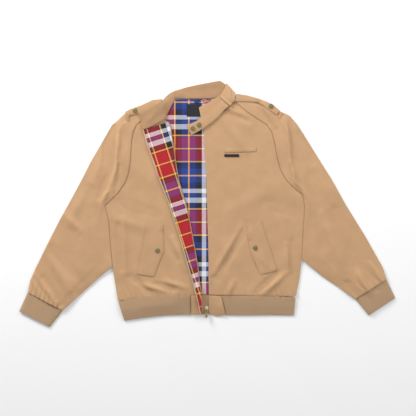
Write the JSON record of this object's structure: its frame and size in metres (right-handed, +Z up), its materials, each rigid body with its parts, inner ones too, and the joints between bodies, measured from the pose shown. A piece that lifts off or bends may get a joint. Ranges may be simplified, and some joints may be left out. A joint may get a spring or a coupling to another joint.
{
  "type": "harrington jacket",
  "caption": "Tan cotton harrington jacket laid flat, zip open, right front turned back to show its checked lining.",
  "frame": {"origin": "centre of the laid-out jacket's box at the height of its flat underside", "axes": "+X towards the wearer's left sleeve and the longest way across the sleeves, +Y towards the collar, +Z up out of the surface it lies on"},
  "size_m": [1.0887, 0.7129, 0.0162],
  "materials": {
    "shell_twill": "matt tan cotton twill",
    "collar_cloth": "matt tan cotton twill, interlined",
    "rib_knit": "fine rib knit",
    "check_lining": "woven check of red, blue, black, white and yellow",
    "zip_tape": "cream woven tape",
    "dark_label": "plain black woven label",
    "antique_brass": "antique brass, dull"
  },
  "bodies": {
    "garment": {"back": "shell_twill", "back_lining": "check_lining", "chest_welt": "shell_twill", "collar_inner": "collar_cloth", "collar_outer": "collar_cloth", "cuff_left": "rib_knit", "cuff_right": "rib_knit", "epaulette_left": "shell_twill", "epaulette_right": "shell_twill", "front_left": "shell_twill", "front_right": "shell_twill", "front_right_lining": "check_lining", "hanger_loop": "check_lining", "hem_end_left": "shell_twill", "hem_end_right": "shell_twill", "hem_rib_back": "rib_knit", "hem_rib_left": "rib_knit", "hem_rib_right": "rib_knit", "keeper_left": "shell_twill", "keeper_right": "shell_twill", "label_strip": "dark_label", "neck_label": "dark_label", "pocket_flap_left": "shell_twill", "pocket_flap_right": "shell_twill", "sleeve_back_left": "shell_twill", "sleeve_back_right": "shell_twill", "sleeve_front_left": "shell_twill", "sleeve_front_right": "shell_twill", "snap_epaulette_left": "antique_brass", "snap_epaulette_right": "antique_brass", "snap_pocket_left": "antique_brass", "snap_pocket_right": "antique_brass", "snap_strap_inner": "antique_brass", "snap_strap_outer": "antique_brass", "strap_loop": "shell_twill", "throat_strap": "shell_twill", "zip_bridge": "antique_brass", "zip_slider": "antique_brass", "zip_tape_left_end": "zip_tape", "zip_tape_right": "zip_tape"},
    "pull": {"pull_tab": "antique_brass"}
  },
  "joints": [
    {"name": "pull_tab_hinge", "type": "hinge", "parent": "garment", "child": "pull", "pos_m": [-0.0029, -0.31, 0.01038], "axis": [-1, 0, 0], "range_deg": [0, 170]}
  ]
}
